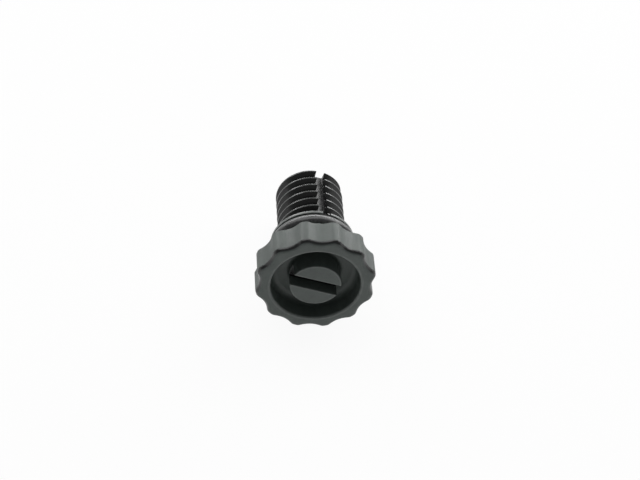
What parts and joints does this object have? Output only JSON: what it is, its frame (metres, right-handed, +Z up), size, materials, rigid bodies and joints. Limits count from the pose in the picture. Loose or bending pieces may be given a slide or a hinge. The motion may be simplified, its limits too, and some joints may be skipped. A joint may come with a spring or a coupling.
{
  "type": "bleeder screw",
  "caption": "Moulded plastic bleeder screw: scalloped grip head with a slotted boss in a ring-shaped recess, sealing ring on a neck, coarse right-hand thread with a vent groove.",
  "frame": {"origin": "on the surface that the screw lies on, under the centre of its bounding box", "axes": "+Z up from that surface, +Y towards the tip and -Y the way the head's face looks; the screw's own axis slopes down towards the tip by 13.81 degrees"},
  "size_m": [0.0168, 0.0218, 0.0172],
  "materials": {
    "black_plastic": "moulded black glass-filled plastic, finely textured head and smoother thread",
    "black_rubber": "smooth black rubber"
  },
  "bodies": {
    "root": {"screw_body": "black_plastic", "sealing_ring": "black_rubber"}
  },
  "joints": []
}
